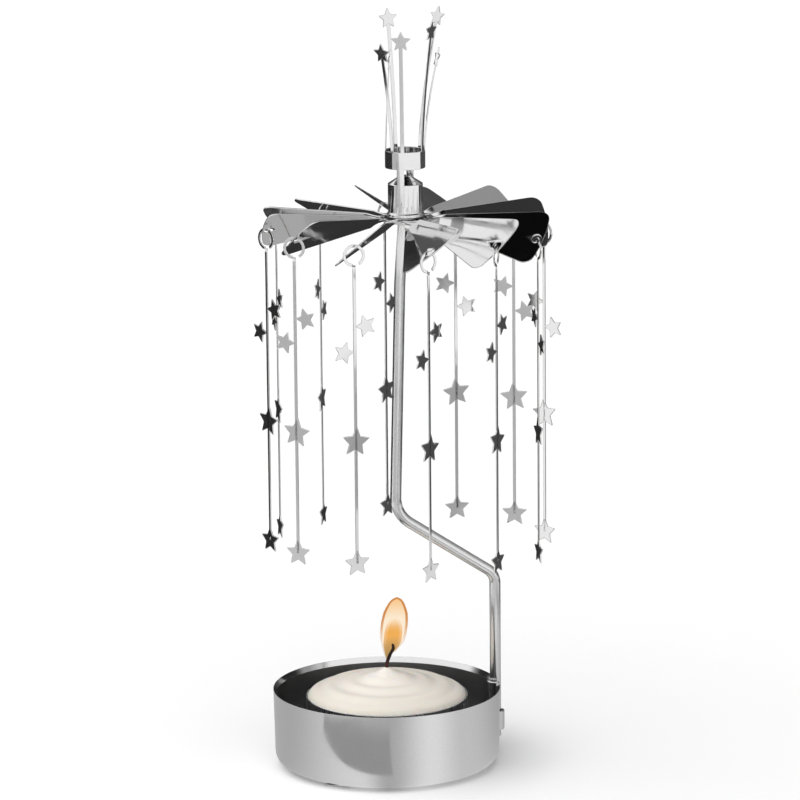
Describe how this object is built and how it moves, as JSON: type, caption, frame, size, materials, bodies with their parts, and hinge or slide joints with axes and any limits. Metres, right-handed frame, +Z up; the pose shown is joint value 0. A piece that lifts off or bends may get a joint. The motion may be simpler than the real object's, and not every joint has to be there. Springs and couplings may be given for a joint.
{
  "type": "spinning tealight carousel",
  "caption": "Tealight holder whose cranked wire post carries a bladed wheel on a needle point; warm air turns it with its hanging strands of stamped stars.",
  "frame": {"origin": "on the table straight below the needle point that the rotor turns on", "axes": "+Z up along the rotor's axis, -Y to the front of the picture, +X to the side where the post stands in the cup's wall"},
  "size_m": [0.0713, 0.0722, 0.1786],
  "materials": {
    "chromed_steel": "bright chrome on stamped sheet, turned steel and drawn wire",
    "tealight_aluminium": "bare drawn foil",
    "ivory_wax": "satin ivory wax",
    "burnt_wick": "charred cotton"
  },
  "bodies": {
    "stand": {"candle_cup": "chromed_steel", "post": "chromed_steel"},
    "rotor": {"pivot_hub": "chromed_steel", "rotor_wheel": "chromed_steel", "star_crown": "chromed_steel"},
    "strand_01": {"star_strand_01": "chromed_steel"},
    "strand_02": {"star_strand_02": "chromed_steel"},
    "strand_03": {"star_strand_03": "chromed_steel"},
    "strand_04": {"star_strand_04": "chromed_steel"},
    "strand_05": {"star_strand_05": "chromed_steel"},
    "strand_06": {"star_strand_06": "chromed_steel"},
    "strand_07": {"star_strand_07": "chromed_steel"},
    "strand_08": {"star_strand_08": "chromed_steel"},
    "strand_09": {"star_strand_09": "chromed_steel"},
    "strand_10": {"star_strand_10": "chromed_steel"},
    "strand_11": {"star_strand_11": "chromed_steel"},
    "strand_12": {"star_strand_12": "chromed_steel"},
    "tealight": {"tealight_cup": "tealight_aluminium", "candle_wax": "ivory_wax", "candle_wick": "burnt_wick", "wick_sustainer": "tealight_aluminium"}
  },
  "joints": [
    {"name": "rotor_spin", "type": "hinge", "parent": "stand", "child": "rotor", "pos_m": [0, 0, 0.13785], "axis": [0, 0, 1], "continuous": true},
    {"name": "strand_01_swing", "type": "hinge", "parent": "rotor", "child": "strand_01", "pos_m": [0.03202, 0.00493, 0.12765], "axis": [0.7133, -0.7009, 0], "range_deg": [-6, 30]},
    {"name": "strand_02_swing", "type": "hinge", "parent": "rotor", "child": "strand_02", "pos_m": [0.02532, 0.02032, 0.12835], "axis": [0.9681, -0.2504, 0], "range_deg": [-6, 30]},
    {"name": "strand_03_swing", "type": "hinge", "parent": "rotor", "child": "strand_03", "pos_m": [0.01178, 0.03018, 0.12748], "axis": [0.9636, 0.2672, 0], "range_deg": [-6, 30]},
    {"name": "strand_04_swing", "type": "hinge", "parent": "rotor", "child": "strand_04", "pos_m": [-0.00493, 0.03204, 0.12789], "axis": [0.7009, 0.7133, 0], "range_deg": [-6, 30]},
    {"name": "strand_05_swing", "type": "hinge", "parent": "rotor", "child": "strand_05", "pos_m": [-0.02023, 0.02533, 0.12755], "axis": [0.2504, 0.9681, 0], "range_deg": [-6, 30]},
    {"name": "strand_06_swing", "type": "hinge", "parent": "rotor", "child": "strand_06", "pos_m": [-0.03022, 0.01179, 0.12786], "axis": [-0.2672, 0.9636, 0], "range_deg": [-6, 30]},
    {"name": "strand_07_swing", "type": "hinge", "parent": "rotor", "child": "strand_07", "pos_m": [-0.03211, -0.00494, 0.12863], "axis": [-0.7133, 0.7009, 0], "range_deg": [-6, 30]},
    {"name": "strand_08_swing", "type": "hinge", "parent": "rotor", "child": "strand_08", "pos_m": [-0.02537, -0.02035, 0.12929], "axis": [-0.9681, 0.2504, 0], "range_deg": [-6, 30]},
    {"name": "strand_09_swing", "type": "hinge", "parent": "rotor", "child": "strand_09", "pos_m": [-0.01174, -0.0303, 0.12923], "axis": [-0.9636, -0.2672, 0], "range_deg": [-6, 30]},
    {"name": "strand_10_swing", "type": "hinge", "parent": "rotor", "child": "strand_10", "pos_m": [0.00493, -0.03204, 0.12789], "axis": [-0.7009, -0.7133, 0], "range_deg": [-6, 30]},
    {"name": "strand_11_swing", "type": "hinge", "parent": "rotor", "child": "strand_11", "pos_m": [0.02031, -0.0253, 0.12812], "axis": [-0.2504, -0.9681, 0], "range_deg": [-6, 30]},
    {"name": "strand_12_swing", "type": "hinge", "parent": "rotor", "child": "strand_12", "pos_m": [0.03013, -0.01171, 0.12705], "axis": [0.2672, -0.9636, 0], "range_deg": [-6, 30]},
    {"name": "tealight_lift", "type": "slide", "parent": "stand", "child": "tealight", "axis": [0, 0, 1], "range_m": [0, 0.018]}
  ]
}
